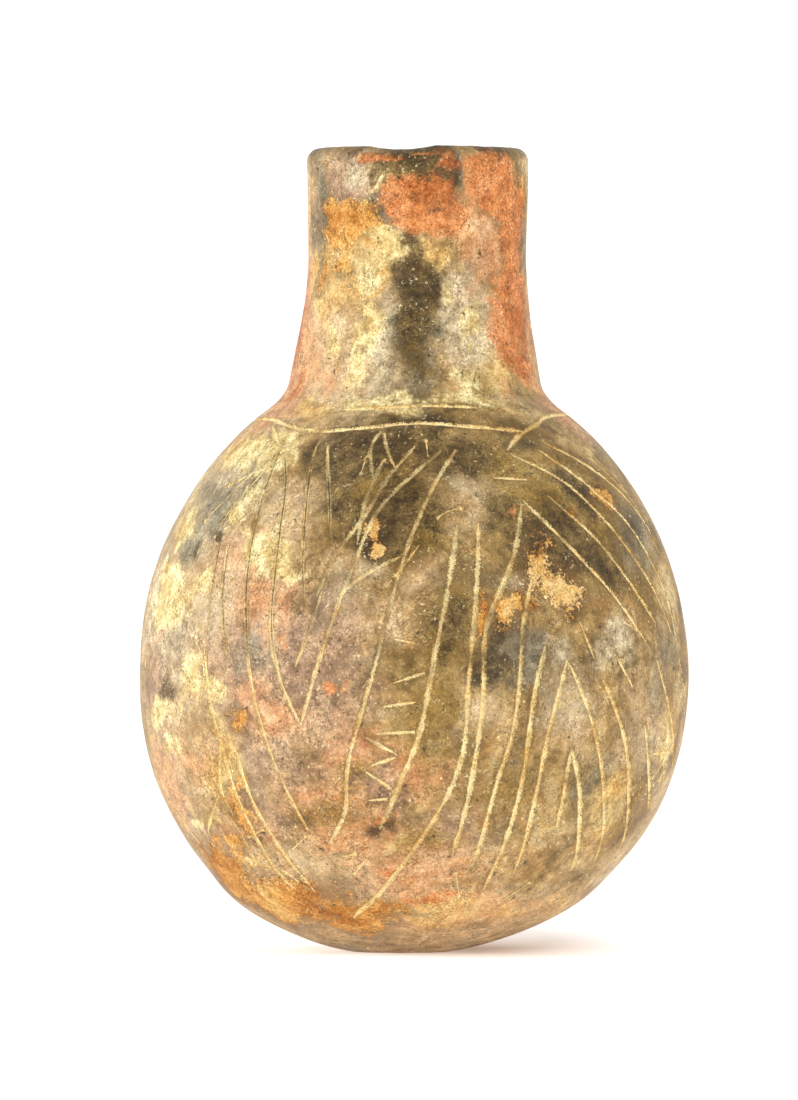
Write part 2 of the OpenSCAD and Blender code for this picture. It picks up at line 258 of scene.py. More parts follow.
# Some kinds below also hold painted light and shade, as their comments say.
# Patches of the finish: (angle, height, half angle, half height, tilt, strength)
PATCHES = {
    # Painted light over the clay's pale tone: broad pale patches where the neck's left and the body's left
    # limb are lit, painted highlights on the neck, and wide bands of painted bounce light from the floor
    # along the foot.
    "tan_and_painted_light": [
        (-42, 172, 30, 20, 0, 1.2), (-45, 150, 30, 12, 0, 1.0), (30, 160, 12, 16, 0, 1.0),
        (-50, 141, 16, 4, 0, 1.0), (-64, 130, 14, 7, 0, 1.0), (-64, 98, 22, 30, 0, 0.9),
        (-46, 88, 14, 26, 0, 0.7), (-32, 108, 8, 12, 0, 0.9), (-52, 52, 24, 20, 0, 0.8),
        (-40, 22, 40, 10, 0, 0.8), (0, 26, 40, 14, 0, 0.4), (10, 10, 90, 8, 0, 0.9),
        (-12, 12, 60, 5, 0, 0.8), (-60, 28, 14, 8, 0, 0.7), (-4, 88, 14, 8, 0, 0.4),
        (60, 60, 20, 20, 0, 0.4), (12, 116, 8, 9, 0, 0.7), (-15, 85, 7, 8, 0, 0.9),
        (34, 64, 9, 12, 0, 0.8), (-14, 99, 7, 6, 0, 0.7), (15, 61, 6, 6, 0, 0.5), (1, 98, 6, 5, 0, 0.6),
    ],
    "mauve": [
        (-30, 74, 18, 20, 0, 1.0), (-16, 62, 10, 14, 0, 0.7), (-8, 45, 12, 12, 0, 0.6),
        (-20, 90, 8, 6, 0, 0.4), (10, 35, 12, 8, 0, 0.4), (-35, 50, 12, 10, 0, 0.8),
        (-38, 201, 17, 6, 0, 1.3), (40, 180, 12, 8, 0, 0.5), (-70, 70, 14, 20, 0, 0.6),
        (-58, 78, 8, 10, 0, 0.6), (-26, 200, 7, 6, 0, 0.8), (-30, 38, 12, 8, 0, 0.7),
        (-56, 203, 10, 5, 0, 0.5), (-15, 72, 8, 6, 0, 0.6), (-16, 50, 8, 6, 0, 0.6),
    ],
    "salmon": [
        (-76, 172, 12, 22, 0, 1.1), (-72, 150, 14, 14, 0, 1.2), (-52, 164, 10, 8, 0, 0.4),
        (-44, 148, 12, 6, 0, 0.4), (34, 184, 14, 9, 0, 1.2), (74, 165, 12, 18, 0, 0.9),
        (44, 148, 10, 6, 0, 0.3), (74, 142, 14, 8, 0, 0.8), (-42, 104, 10, 7, 0, 0.9),
        (-34, 92, 8, 10, 0, 0.8), (-34, 66, 9, 9, 0, 0.5), (-54, 140, 12, 3, 0, 0.8),
        (-22, 42, 12, 8, 0, 0.7), (0, 24, 20, 8, 0, 0.8), (-14, 32, 14, 7, 0, 0.8),
        (-72, 45, 12, 16, 0, 0.6), (-55, 50, 10, 8, 0, 0.5), (20, 12, 50, 5, 0, 0.8),
        (0, 48, 9, 10, 0, 0.6), (-14, 55, 7, 9, 0, 0.7), (-30, 60, 7, 6, 0, 0.9), (-66, 84, 8, 8, 0, 0.4),
        (30, 180, 8, 12, 0, 1.0), (31, 197, 5, 5, 0, 0.6), (-45, 33, 18, 6, 0, 0.5),
    ],
    "gold": [
        (-40, 179, 20, 8, 0, 1.5), (9, 178.8, 4.5, 3.4, 0, 1.1), (36, 150, 18, 5, 0, 0.7),
        (-52, 170, 12, 12, 0, 0.6), (-26, 177, 12, 9, -8, 1.2), (-28, 185, 9, 5, 0, 0.7),
        (-13.5, 201.5, 2.8, 5.5, -32, 1.1), (-45, 140, 9, 3, 0, 0.9), (-60, 128, 12, 5, -15, 1.3),
        (-45, 50, 6, 12, -8, 0.7), (70, 196, 6, 6, 0, 0.6), (22, 176, 6, 4, 0, 0.4),
        (52, 40, 10, 12, 0, 0.4), (70, 60, 8, 18, 0, 0.5), (0, 128, 60, 2, 0, 0.2),
        (30, 142, 14, 3, 0, 0.6), (44, 124, 16, 8, -20, 0.5), (-2, 30, 14, 5, 0, 0.4),
        # A wide band of painted bounce light from the floor along the foot
        (0, 12, 80, 4, 0, 0.7),
    ],
    # Grey ash, partly painted highlights: the patches on the neck and the one on the right shoulder at 58
    # degrees.
    "ash_and_highlight": [
        (-60, 115, 16, 10, -30, 1.1), (-48, 123, 9, 5, -30, 0.8), (-30, 202, 9, 5, 0, 0.8),
        (28, 165, 9, 8, 0, 0.8), (24, 160, 10, 14, 0, 0.6), (24, 174, 9, 7, 0, 0.7),
        (46, 80, 9, 8, 0, 0.6), (32, 62, 8, 10, 0, 0.4), (58, 104, 10, 9, 0, 0.4),
        (22, 98, 10, 6, 0, 0.3), (-60, 82, 10, 14, 0, 0.7), (-76, 92, 8, 20, 0, 0.6),
        (-16, 157, 6, 15, 0, 1.1), (15, 168, 5, 8, 0, 0.7), (0, 147, 16, 4, 0, 0.5),
        (31, 80, 6, 6, 0, 0.7), (45, 50, 8, 8, 0, 0.5), (62, 70, 7, 10, 0, 0.5),
    ],
    "slate": [
        (24, 203, 3.5, 4, 0, 1.2), (21, 195, 3, 5, -15, 1.1), (-16, 191.5, 8, 4.5, 0, 1.2),
        (-58, 116, 13, 9, -30, 0.65), (-47, 124, 8, 4, -30, 0.7), (-64, 106, 8, 7, 0, 0.7),
        (-53, 109, 3, 2.5, 0, 1.0), (20, 79, 8, 8, 0, 0.9), (15, 72, 6, 6, 0, 0.6),
        (-36, 80, 7, 11, 0, 0.4), (64, 110, 8, 10, 0, 0.8), (66, 80, 8, 14, 0, 0.5),
        (20, 52, 8, 6, 0, 0.4), (42, 46, 8, 5, 0, 0.5), (-66, 196, 8, 12, 0, 1.2),
        # The patch at 0 degrees and 155 mm darkens the neck's middle: partly painted shade.
        (-60.5, 177, 1.6, 10, 0, 1.0), (0, 155, 12.5, 15, 0, 1.15),
    ],
    "umber": [
        (34, 111, 15, 12, -25, 1.15), (48, 110, 12, 13, -30, 1.15), (52, 124, 16, 7, -20, 0.9),
        (24, 128, 14, 6, 0, 0.8), (36, 136, 16, 4, 0, 0.8), (30, 141, 9, 4, 0, 0.3),
        (26, 103, 8, 8, 0, 0.7), (60, 96, 8, 14, 0, 0.6), (66, 70, 9, 18, 0, 0.35),
        (2, 62, 8, 10, 0, 0.6), (-14, 50, 7, 5, 0, 0.5), (62, 34, 10, 8, 0, 0.7), (42, 50, 12, 8, 0, 0.3),
        (60, 40, 6, 6, 0, 0.6), (-24, 38, 12, 8, 0, 0.5), (20, 44, 14, 8, 0, 0.6), (4, 30, 16, 6, 0, 0.4),
        (6, 84, 5, 14, 0, 0.8), (7, 66, 4, 12, 0, 0.8), (-6, 118, 18, 10, 0, 0.8),
        # The patches at 0 degrees between 140 and 175 mm darken the neck's middle: partly painted shade.
        (0, 108, 10, 8, 0, 0.6), (0, 157, 12, 18, 0, 0.65), (-20, 206, 10, 4, 0, 0.5),
        (30, 147, 10, 5, 0, 0.6), (52, 181, 7, 5, 0, 0.7), (0, 152, 9, 8, 0, 0.4),
    ],
    # Smoke clouds of the firing; the dark column down the middle of the neck is partly painted shade, the
    # room's dark front reflected between the two softboxes.
    "smoke_and_shade": [
        (2.6, 202.5, 8.5, 3.4, -8, 2.6), (13, 200, 5, 2, 0, 0.7), (-19.5, 201, 1.2, 6, 0, 1.1),
        (-3, 176.5, 8, 5.5, 10, 1.4), (0, 165, 12, 12, 0, 0.8), (-1, 156, 8, 9, 0, 0.3),
        (8, 172, 6, 6, 0, 0.8), (58, 150, 5, 4, 0, 0.4), (-14, 129, 16, 6, 0, 1.3),
        (8, 130, 14, 6, 0, 0.9), (-31, 128, 6, 5, 0, 0.7), (36, 132, 10, 3, 0, 0.5),
        (-18, 118, 9, 7, 0, 0.65), (-4, 113, 11, 9, 0, 1.0), (-8, 108, 6, 6, 0, 0.8),
        (22, 116, 6, 4, 0, 1.0), (33, 108, 11, 8, -20, 1.1), (46, 102, 9, 8, -30, 0.9),
        (46, 118, 10, 6, -30, 0.7), (22, 108, 8, 6, 0, 0.6), (6, 84, 4, 10, 5, 0.7),
        (16, 84, 6, 6, 0, 0.7), (15, 75, 5, 9, 0, 0.8), (-64, 68, 6, 6, 0, 0.4), (44, 44, 8, 5, 0, 0.2),
        (-9, 33.5, 5, 2.8, 0, 1.1), (64, 112, 7, 8, 0, 0.5), (-42, 31, 8, 4, 0, 0.3),
        (24, 114, 2, 1.8, 0, 1.2), (-7, 107, 2.2, 4, 0, 1.2), (-50.5, 107.5, 1.2, 1, -40, 1.6),
        (-46, 119, 3, 4, -30, 0.6), (-50, 113, 3, 3, -30, 0.7), (-57, 104, 3, 3, -30, 0.6),
        (0, 138.6, 24, 1.6, 0, 0.8),
    ],
    "ochre": [
        (-41, 189.5, 14, 3.4, -6, 1.5), (-38, 178, 14, 6, 0, 0.3), (-54, 178, 8, 8, 0, 0.6),
        (70, 195, 8, 8, 0, 0.6), (-62, 22, 12, 6, 10, 1.0), (-48, 15, 20, 5, 0, 1.1),
        (-20, 10, 18, 4, 0, 0.9), (-43, 38, 3, 9, -10, 0.7), (-50, 30, 6, 4, 0, 0.6),
        (-28, 168, 10, 4, 0, 0.4), (12.5, 86, 1.6, 5, 0, 0.8), (24, 93, 4, 5, 0, 0.5),
        (-40, 60, 5, 3, 0, 0.5), (-40, 184, 9, 3, 0, 0.5),
    ],
    "rust": [
        (-82, 160, 9, 20, 0, 0.7), (-66, 146, 7, 5, 0, 0.5), (6, 192.5, 14, 5.6, 0, 1.4),
        (2, 187, 8, 4, 0, 0.7), (-20, 206.5, 15, 1.4, 0, 0.9), (17, 204, 7, 4, 0, 0.9),
        (44, 199, 14, 7, 0, 1.3), (60, 188, 12, 12, 0, 1.0), (52, 166, 13, 14, -10, 1.1),
        (66, 165, 10, 18, 0, 0.9), (34, 204, 14, 3, 0, 0.7), (40, 174, 8, 6, 0, 0.5),
        (60, 150, 8, 6, 0, 0.9), (6, 207.5, 16, 1.5, 0, 0.9), (-17, 69, 4, 3, 0, 0.5),
        (-9, 34.5, 4, 1.8, 0, 0.7), (-25, 44, 4, 3, 0, 0.4), (-28, 84, 3, 4, 0, 0.3),
        (5, 15, 14, 3, 0, 0.4), (-8, 24, 9, 5, 0, 0.2), (24, 115, 2.4, 2.4, 0, 0.5),
        (60, 177, 3, 3, 0, 0.7),
    ],
    # Cream crust, with painted highlights among it: the broad soft patches low on the neck, between 145 and
    # 165 mm, and the thin bands along the neck's foot near 141 mm.
    "cream": [
        (-14, 151, 5, 8, 0, 0.2), (-46, 157, 8, 8, 0, 0.45), (-52, 140.5, 12, 3, 0, 0.5),
        (-16, 183.5, 6, 2.4, -25, 1.4), (-10, 180, 6, 2, -12, 1.1), (-25, 174, 9, 6, -10, 0.55),
        (-30, 186, 8, 4, 0, 0.3), (-16, 199, 1.8, 4, -32, 0.7), (18, 172, 7, 1.8, 0, 0.6),
        (-27, 160, 10, 12, 0, 0.85), (-30, 147, 12, 4, 0, 0.4), (28, 163, 7, 9, 0, 0.6),
        (22, 147, 10, 4, 0, 0.4), (-12, 142.5, 26, 1.8, 0, 1.0), (20, 141, 14, 1.6, 0, 0.6),
        (-60, 129, 12, 5, -15, 0.8), (-45, 128, 7, 6, 0, 1.1), (-66, 97, 12, 6, 0, 0.9),
        (-47, 113, 5, 5, 0, 0.8), (-43, 117, 3, 6, 0, 0.5), (-52, 96, 5, 7, 0, 0.5),
        (-72, 112, 8, 10, 0, 0.6), (-34, 104, 8, 6, 0, 0.8), (-26, 98, 4, 5, 0, 0.5),
        (-66, 63, 8, 3.5, 10, 0.8), (-58, 66, 4, 5, 0, 0.6), (-52, 72, 4, 7, 0, 0.7),
        (-46, 68, 4, 4, 0, 0.8), (-62, 54, 6, 4, 0, 0.6), (-66, 88, 8, 5, 0, 0.9),
        (-47, 60, 2.5, 9, 0, 0.7), (-55, 36, 8, 2, 20, 0.7), (-62, 33, 8, 1.5, 20, 0.6),
        (-46, 24, 8, 1.2, 5, 0.6), (32, 66, 4, 5, 0, 0.4), (70, 52, 3, 6, -20, 0.7),
    ],
    "chip": [
        (30, 101, 5.0, 6, 0, 1.0), (33, 95, 3.5, 4, 0, 0.9), (18, 88.5, 3.4, 4, 0, 0.9),
        (20, 92, 2, 3, 20, 0.8), (-9.3, 111, 1.3, 1.8, 0, 1.0), (-8.4, 106, 0.7, 2.2, 0, 1.0),
        (-9.3, 108.6, 0.8, 1.2, 0, 0.8), (56, 118.5, 4.0, 2.4, 0, 1.1), (40.5, 112.8, 1.8, 1.5, 0, 1.0),
        (60, 178, 1.8, 2.4, 0, 0.7),
    ],
}
# Where the cuts are open and not filled with deposit, with painted shade down their middle
SHADED_CUTS = [(-38, 106, 16, 32, 0, 1.0), (-24, 118, 8, 16, 0, 0.7)]
# How many patches of each kind the unseen back gets: count, half angle, half height
BACK_PATCHES = {
    "tan_and_painted_light": (16, 20, 18), "mauve": (10, 14, 14), "salmon": (14, 14, 12), "ash_and_highlight": (8, 12, 10),
    "slate": (8, 12, 10), "gold": (12, 12, 10), "umber": (16, 12, 10), "smoke_and_shade": (16, 11, 9),
    "ochre": (4, 14, 4), "rust": (6, 11, 8), "cream": (12, 10, 7), "chip": (5, 1.6, 1.6),
}
# The least and most that the seeded draw gives each of them, the sizes as shares of those above
BACK_ANGLE = (88, 272)
BACK_HEIGHT = (4, 206)
BACK_SIZE = (0.6, 1.5)
BACK_TALL = (0.7, 1.4)
BACK_TILT = (-40, 40)
BACK_STRENGTH = (0.5, 1.0)

# Each kind of patch: its dark, middle and light tone, how soft its edge is, how far that edge frays, and how
# much of what lies below is covered. They lie over each other in this order.
TONES = {
    # Painted light over pale clay: the tones of the lit zones, highlights and bounce light
    "tan_and_painted_light": ("#b08a56", "#dab888", "#f4deb4", 0.80, 0.9, 0.85),
    "mauve": ("#7c6050", "#a68268", "#ccaa8a", 0.55, 0.9, 0.70),
    "salmon": ("#b0723e", "#dc9b65", "#f6ca98", 0.50, 1.1, 0.75),
    "gold": ("#bc8838", "#e6bc6e", "#fbe4a0", 0.45, 1.4, 0.80),
    # Grey ash, partly painted highlights
    "ash_and_highlight": ("#8c7c5c", "#bca882", "#e2d2ae", 0.50, 1.0, 0.75),
    "slate": ("#4a4434", "#7c7258", "#aea284", 0.40, 1.2, 0.80),
    "umber": ("#463208", "#765818", "#aa8638", 0.60, 1.1, 0.75),
    # Smoke, partly painted shade down the neck's middle
    "smoke_and_shade": ("#2c2010", "#523f22", "#80683c", 0.38, 1.3, 0.90),
    "ochre": ("#a05a18", "#d8923a", "#f6cc7c", 0.20, 1.8, 0.88),
    "rust": ("#94481a", "#cf7636", "#f2a466", 0.30, 1.5, 0.85),
    "cream": ("#c49c54", "#eed28c", "#fdecb2", 0.28, 1.8, 0.85),
    "chip": ("#a2601e", "#dca04a", "#f4d08c", 0.13, 1.8, 0.95),
}
FRAYING = 2.6
# The kinds that flaked clay or a crust leaves, with a grainy dark edge
CRUSTS = ("chip", "ochre")
CRUST_GRAIN = 1.5
CRUST_EDGE = "#5c3414"

# The other colours of the clay and of what lies on it, with a run of colours as (place, hex code)
CLAY = [(0.36, "#614a24"), (0.44, "#86693a"), (0.50, "#a6844c"), (0.56, "#be9c62"), (0.64, "#dcc088")]
WARM_CLOUD = "#bc8a50"
GREY_CLOUD = "#8a7c54"
FLECK = "#f2e3ac"
PIT = "#2c200c"
CRACK = "#46341a"
SOOT = [(0.4, "#342a1c"), (0.6, "#6c5636")]
# Painted shade: in and along the edges of every cut, and down the middle of the open cuts
CUT_EDGE_SHADE = "#4a3818"
CUT_SHADE = "#3a2810"
DEPOSIT = [(0.40, "#a8782f"), (0.455, "#e2b768"), (0.515, "#ffedb2")]
# The inside's colours, much darker than the outside's: painted shade in the hollow
HOLLOW_SHADE = [(0.35, "#30261a"), (0.5, "#4c3e2a"), (0.65, "#6e5c40")]
# The grain's middle brightness, and how it tips towards green and blue
TONE_MEAN = 0.834
TONE_TINT = (1.0, 1.03, 1.07)
# Heights in metres: where the soot starts and where it is full, and the highest bump
SOOT_FROM, SOOT_FULL = 0.2055, 0.2078
BUMP_HEIGHT = 0.0005

# The floor, which glows least behind the bottle's foot and a little to the right of it: a painted shadow of
# the bottle
FLOOR_HALF = 8.0
TABLE_COLOUR = (0.64, 0.64, 0.64, 1)
SHADE_AT = (0.018, 0.075, 0.0)
SHADE_SIZE = (0.030, 0.100, 1.0)
SHADE_GLOW = (0.30, 0.21, 0.15, 1)
OPEN_GLOW = (0.72, 0.64, 0.59, 1)

# The room's light in front of the bottle and behind it, and how bright the camera sees the backdrop
ROOM_FRONT, ROOM_BACK = 0.25, 0.95
BACKDROP = 1.2
# Each softbox: its name, place, width and height, and power
SOFTBOXES = (
    ("left_softbox", (-0.80, -0.42, 0.40), (0.55, 0.8), 7),
    ("right_softbox", (0.62, -0.62, 0.35), (0.35, 0.7), 4),
)
LIGHT_AIM = (0, 0, 0.11)

# Where the photo's camera stands: almost level, far off, and a little to the left of the bottle's middle
PHOTO_W, PHOTO_H = 798, 1100
PHOTO_MM_PER_PX = 0.26
BODY_CENTRE_X = 414.0
FOOT_Y = 951.0
CAMERA_DISTANCE = 2700.0
CAMERA_H = 118.0
SENSOR = 36.0


def sweep_r(z):
    """Radius of the neck where it draws in from its foot."""
    return NECK_R + (NECK_FOOT_R - NECK_R) * np.clip(1 - (z - FOOT_H) / NECK_SWEEP, 0, 1) ** NECK_DRAW


def about_axis(r, a, z):
    """Points at the radius r and the height z, for angles in radians from the front."""
    return np.column_stack((r * np.sin(a), -r * np.cos(a), z + 0 * a))


def angle_of(p):
    return np.degrees(np.arctan2(p[:, 0], -p[:, 1]))


def without_height(p):
    return np.column_stack((p[:, 0], p[:, 1], np.zeros(len(p))))


def unit(v):
    return v / np.maximum(np.linalg.norm(v, axis=1), 1e-6)[:, None]


def smoothstep(low, high, x):
    t = np.clip((x - low) / (high - low), 0, 1)
    return t * t * (3 - 2 * t)


def noise_at(points, size, shift=0.0):
    """Soft noise between about -1 and 1, with lumps about as large as size."""
    move = Vector((shift, shift * 1.7, -shift))
    return np.array([noise.noise(Vector(p) / size + move) for p in points])


def layered(points, layers):
    """Soft noises added up, each given as its height, size and shift."""
    return sum(height * noise_at(points, size, shift) for height, size, shift in layers)


def tree_of(points):
    tree = kdtree.KDTree(len(points))
    for i, p in enumerate(points):
        tree.insert(p, i)
    tree.balance()
    return tree


class Wall:
    """The outside from the edge of the foot to the lip, as curves that can be looked up by height."""

    def __init__(self):
        lower_a = BELLY_H / math.sqrt(1 - (BASE_R / BODY_R) ** BELLY_FULLNESS)
        upper_a = (FOOT_H - BELLY_H) / math.sqrt(1 - (NECK_FOOT_R / BODY_R) ** 2)
        first = math.asin((BASE_R / BODY_R) ** (BELLY_FULLNESS / 2))
        last = math.acos((FOOT_H - FOOT_BLEND - BELLY_H) / upper_a)
        a = np.linspace(first, math.pi / 2, BODY_POINTS)
        lower = np.column_stack((BODY_R * np.sin(a) ** (2 / BELLY_FULLNESS), BELLY_H - lower_a * np.cos(a)))
        a = np.linspace(math.pi / 2, last, BODY_POINTS)[1:]
        upper = np.column_stack((BODY_R * np.sin(a), BELLY_H + upper_a * np.cos(a)))
        z = np.linspace(FOOT_H + FOOT_BLEND, FOOT_H + NECK_SWEEP, SWEEP_POINTS)
        sweep = np.column_stack((sweep_r(z), z))
        t = np.linspace(0, 1, BLEND_POINTS)[1:-1, None]
        corner = np.array([NECK_FOOT_R, FOOT_H])
        blend = upper[-1] * (1 - t) ** 2 + corner * 2 * t * (1 - t) + sweep[0] * t ** 2
        top = np.array([[MOUTH_R, RIM_H - LIP_H]])
        section = np.vstack((lower, upper, blend, sweep, top))
        # s is the length along the section, and q the logarithm of the radius in the plane of flat()
        self.r, self.z = section[:, 0], section[:, 1]
        ds = np.hypot(np.diff(self.r), np.diff(self.z))
        self.s = np.concatenate(([0], np.cumsum(ds)))
        self.q = np.concatenate(([0], np.cumsum(ds * 2 / (self.r[1:] + self.r[:-1]))))
        self.slope = np.gradient(self.r, self.z)
        self.rise = np.gradient(self.z, self.s)

    def radius(self, z):
        return np.interp(z, self.z, self.r)

    def place(self, angle, z):
        """Points of the outside, in millimetres, for angles in degrees from the front."""
        return about_axis(self.radius(z), np.radians(angle), z)

    def normal(self, angle, z):
        slope, a = np.interp(z, self.z, self.slope), np.radians(angle)
        return unit(np.column_stack((np.sin(a), -np.cos(a), -slope)))

    def flat(self, angle, z):
        """The same points in a plane, without shear, so that triangles drawn there are good on the wall."""
        q, a = np.exp(np.interp(z, self.z, self.q)), np.radians(angle)
        return np.column_stack((q * np.cos(a), q * np.sin(a)))


class Cut:
    """One engraved line on the wall, with how pale its fill is on the shoulder and on the lower belly."""

    def __init__(self, points, width, wall, pale):
        path = self.smooth(np.array(points, float), wall)
        self.spots = wall.place(path[:, 0], path[:, 1])
        run = np.concatenate(([0], np.cumsum(np.linalg.norm(np.diff(self.spots, axis=0), axis=1))))
        near_end = np.minimum(run, run[-1] - run)
        along = np.column_stack((run, run * 0, run * 0))
        wobble = noise_at(along, WOBBLE_SIZE, points[0][0] * WOBBLE_SHIFT)
        self.half = width / 2 * np.minimum(1, END_WIDTH + near_end / RUN_OUT) * (1 + WOBBLE * wobble)
        self.side = unit(np.cross(wall.normal(path[:, 0], path[:, 1]), np.gradient(self.spots, axis=0)))
        self.pale = pale[1] + (pale[0] - pale[1]) * smoothstep(*PALE_BELT, path[:, 1])

    @staticmethod
    def smooth(p, wall):
        """A smooth run through the given points, about CUT_STEP apart on the wall."""
        out = []
        for i in range(len(p) - 1):
            a, b, c, d = p[max(i - 1, 0)], p[i], p[i + 1], p[min(i + 2, len(p) - 1)]
            ends = wall.place(np.array([b[0], c[0]]), np.array([b[1], c[1]]))
            n = max(2, int(np.linalg.norm(ends[1] - ends[0]) / CUT_STEP))
            for t in np.arange(n) / n:
                out.append((2 * b + (c - a) * t + (2 * a - 5 * b + 4 * c - d) * t ** 2
                            + (3 * b - a - 3 * c + d) * t ** 3) / 2)
        return np.array(out + [p[-1]])

    def rows(self):
        """Mesh points on and beside the line, as (angle, height)."""
        rows = [self.spots + self.side * (self.half * k)[:, None] for k in CUT_ROWS]
        return [np.column_stack((angle_of(p), p[:, 2])) for p in rows]


def all_cuts(wall):
    cuts = []
    for group, width, pale in CUT_GROUPS:
        cuts += [Cut(points, width, wall, pale) for points in group]
    rng = np.random.default_rng(SEED)
    for middle in np.linspace(BACK_FROM, BACK_TO, BACK_SWEEPS):
        turn, rise, bend = rng.uniform(-BACK_WANDER, BACK_WANDER, 3) * BACK_SHARES + (middle, 0, 1)
        cuts.append(Cut([(a * bend + turn, z + rise) for a, z in BACK_SWEEP], LINE_W, wall, BACK_PALE))
    cuts.append(Cut(BACK_COLLAR, LINE_W, wall, COLLAR_PALE))
    return cuts


def cut_depth(gap, half):
    """Depth of a cut across its width, with a low burr along its edge."""
    groove = np.clip(1 - gap, 0, 1) ** GROOVE_ROUND
    burr = np.clip(1 - np.abs(gap - BURR_AT) / BURR_W, 0, 1)
    return CUT_LEFT_OPEN * (half / (LINE_W / 2)) * (groove - BURR_H * burr)


class Nearest:
    """Finds how far a point of the wall is from the nearest cut."""

    def __init__(self, cuts):
        self.a = np.vstack([c.spots[:-1] for c in cuts])
        self.b = np.vstack([c.spots[1:] for c in cuts])
        self.half_a = np.concatenate([c.half[:-1] for c in cuts])
        self.half_b = np.concatenate([c.half[1:] for c in cuts])
        self.pale = np.concatenate([c.pale[1:] for c in cuts])
        self.tree = tree_of((self.a + self.b) / 2)

    def gaps(self, points):
        """For each point the gap to the nearest cut in half widths, that half width, and how pale it is."""
        best = np.full(len(points), FARTHEST)
        half = np.full(len(points), LINE_W / 2)
        pale = np.full(len(points), PLAIN_PALE)
        found = [[hit[1] for hit in self.tree.find_n(p, NEIGHBOURS)] for p in points]
        for i in np.transpose(found):
            a, ab = self.a[i], self.b[i] - self.a[i]
            t = np.clip(np.einsum("ij,ij->i", points - a, ab) / np.einsum("ij,ij->i", ab, ab), 0, 1)
            w = self.half_a[i] * (1 - t) + self.half_b[i] * t
            gap = np.linalg.norm(points - a - ab * t[:, None], axis=1) / w
            closer = gap < best
            best = np.where(closer, gap, best)
            half = np.where(closer, w, half)
            pale = np.where(closer, self.pale[i], pale)
        return best, half, pale


def ring(n, z):
    return np.column_stack((np.arange(n) * 360 / n, np.full(n, z)))


def plain_points(wall, rng):
    """Evenly spaced points over the plain wall, as (angle, height)."""
    out = []
    rows = int(wall.s[-1] / (WALL_STEP * ROW_SHARE))
    for k in range(1, rows):
        z = np.interp(wall.s[-1] * k / rows, wall.s, wall.z)
        n = max(FOOT_POINTS, int(2 * math.pi * wall.radius(z) / WALL_STEP))
        angle = (np.arange(n) + (k % 2) / 2 + rng.uniform(-JITTER, JITTER, n)) * 360 / n
        rise = np.interp(z, wall.z, wall.rise)
        height = z + rng.uniform(-JITTER, JITTER, n) * WALL_STEP * rise
        out.append(np.column_stack((angle, np.clip(height, FOOT_MARGIN, RIM_H - LIP_H - LIP_MARGIN))))
    return np.vstack(out)


def thin_out(points, wall):
    """Drops points that lie almost on an earlier one that stays."""
    xyz = wall.place(points[:, 0], points[:, 1])
    tree = tree_of(xyz)
    stays = np.ones(len(xyz), bool)
    for i, p in enumerate(xyz):
        stays[i] = not any(hit[1] < i and stays[hit[1]] for hit in tree.find_range(p, LEAST_GAP))
    return points[stays]


def outer_skin(wall, cuts, rng):
    """The outside's points, the rim's ring first, its triangles, and the nearest cut's gap and paleness."""
    near = Nearest(cuts)
    plain = plain_points(wall, rng)
    gap, half, _ = near.gaps(wall.place(plain[:, 0], plain[:, 1]))
    plain = plain[gap * half > PLAIN_GAP * LINE_W / 2]
    rows = np.vstack([row for cut in cuts for row in cut.rows()])
    loose = thin_out(np.vstack((rows, plain)), wall)
    points = np.vstack((ring(RIM_POINTS, RIM_H - LIP_H), ring(FOOT_POINTS, 0.0), loose))
    spots = wall.place(points[:, 0], points[:, 1])

    under = np.vstack([ring(n, share) for share, n in FOOT_RINGS])
    share, a = under[:, 1], np.radians(under[:, 0])
    low = about_axis(BASE_R * share, a, 0)
    flat_low = np.column_stack((share * np.cos(a), share * np.sin(a)))
    flat = np.vstack((wall.flat(points[:, 0], points[:, 1]), flat_low))
    made = geometry.delaunay_2d_cdt([Vector(p) for p in flat], [], [], 0, 1e-9)
    if len(made[0]) != len(flat):
        raise ValueError("two mesh points fell together")
    triangles = [tuple(reversed(t)) for t in made[2]]

    gap, half, pale = near.gaps(spots)
    spots = spots - wall.normal(points[:, 0], points[:, 1]) * cut_depth(gap, half)[:, None]
    gap = np.concatenate((np.minimum(gap, FAR), np.full(len(low), FAR)))
    pale = np.concatenate((pale, np.zeros(len(low))))
    return np.vstack((spots, low)), triangles, gap, pale


def section_inside():
    """The section from the start of the lip over the rim and down inside to the middle of the bottom."""
    a = np.radians(np.linspace(0, 90, LIP_POINTS + 1)[1:])
    out = [(MOUTH_R - LIP_IN * (1 - math.cos(t)), RIM_H - LIP_H * (1 - math.sin(t))) for t in a]
    reach = NECK_WALL - LIP_IN
    out += [(MOUTH_R - LIP_IN - reach * math.sin(t), RIM_H - LIP_INNER_H * (1 - math.cos(t))) for t in a]
    for z in np.linspace(RIM_H - LIP_INNER_H - BELOW_LIP, FOOT_H, INNER_POINTS):
        out.append((float(sweep_r(z)) - NECK_WALL, float(z)))
    inner_r, foot_r = BODY_R - BODY_WALL, NECK_FOOT_R - NECK_WALL
    upper_a = (FOOT_H - BELLY_H) / math.sqrt(1 - (NECK_FOOT_R / BODY_R) ** 2) - BODY_WALL
    for t in np.linspace(math.asin(foot_r / inner_r), math.pi / 2, INNER_POINTS):
        out.append((inner_r * math.sin(t), BELLY_H + upper_a * math.cos(t)))
    for t in np.linspace(math.pi / 2, 0, INNER_POINTS + 2)[1:]:
        out.append((inner_r * math.sin(t), BELLY_H - (BELLY_H - FLOOR_T) * math.cos(t)))
    return np.array(out)


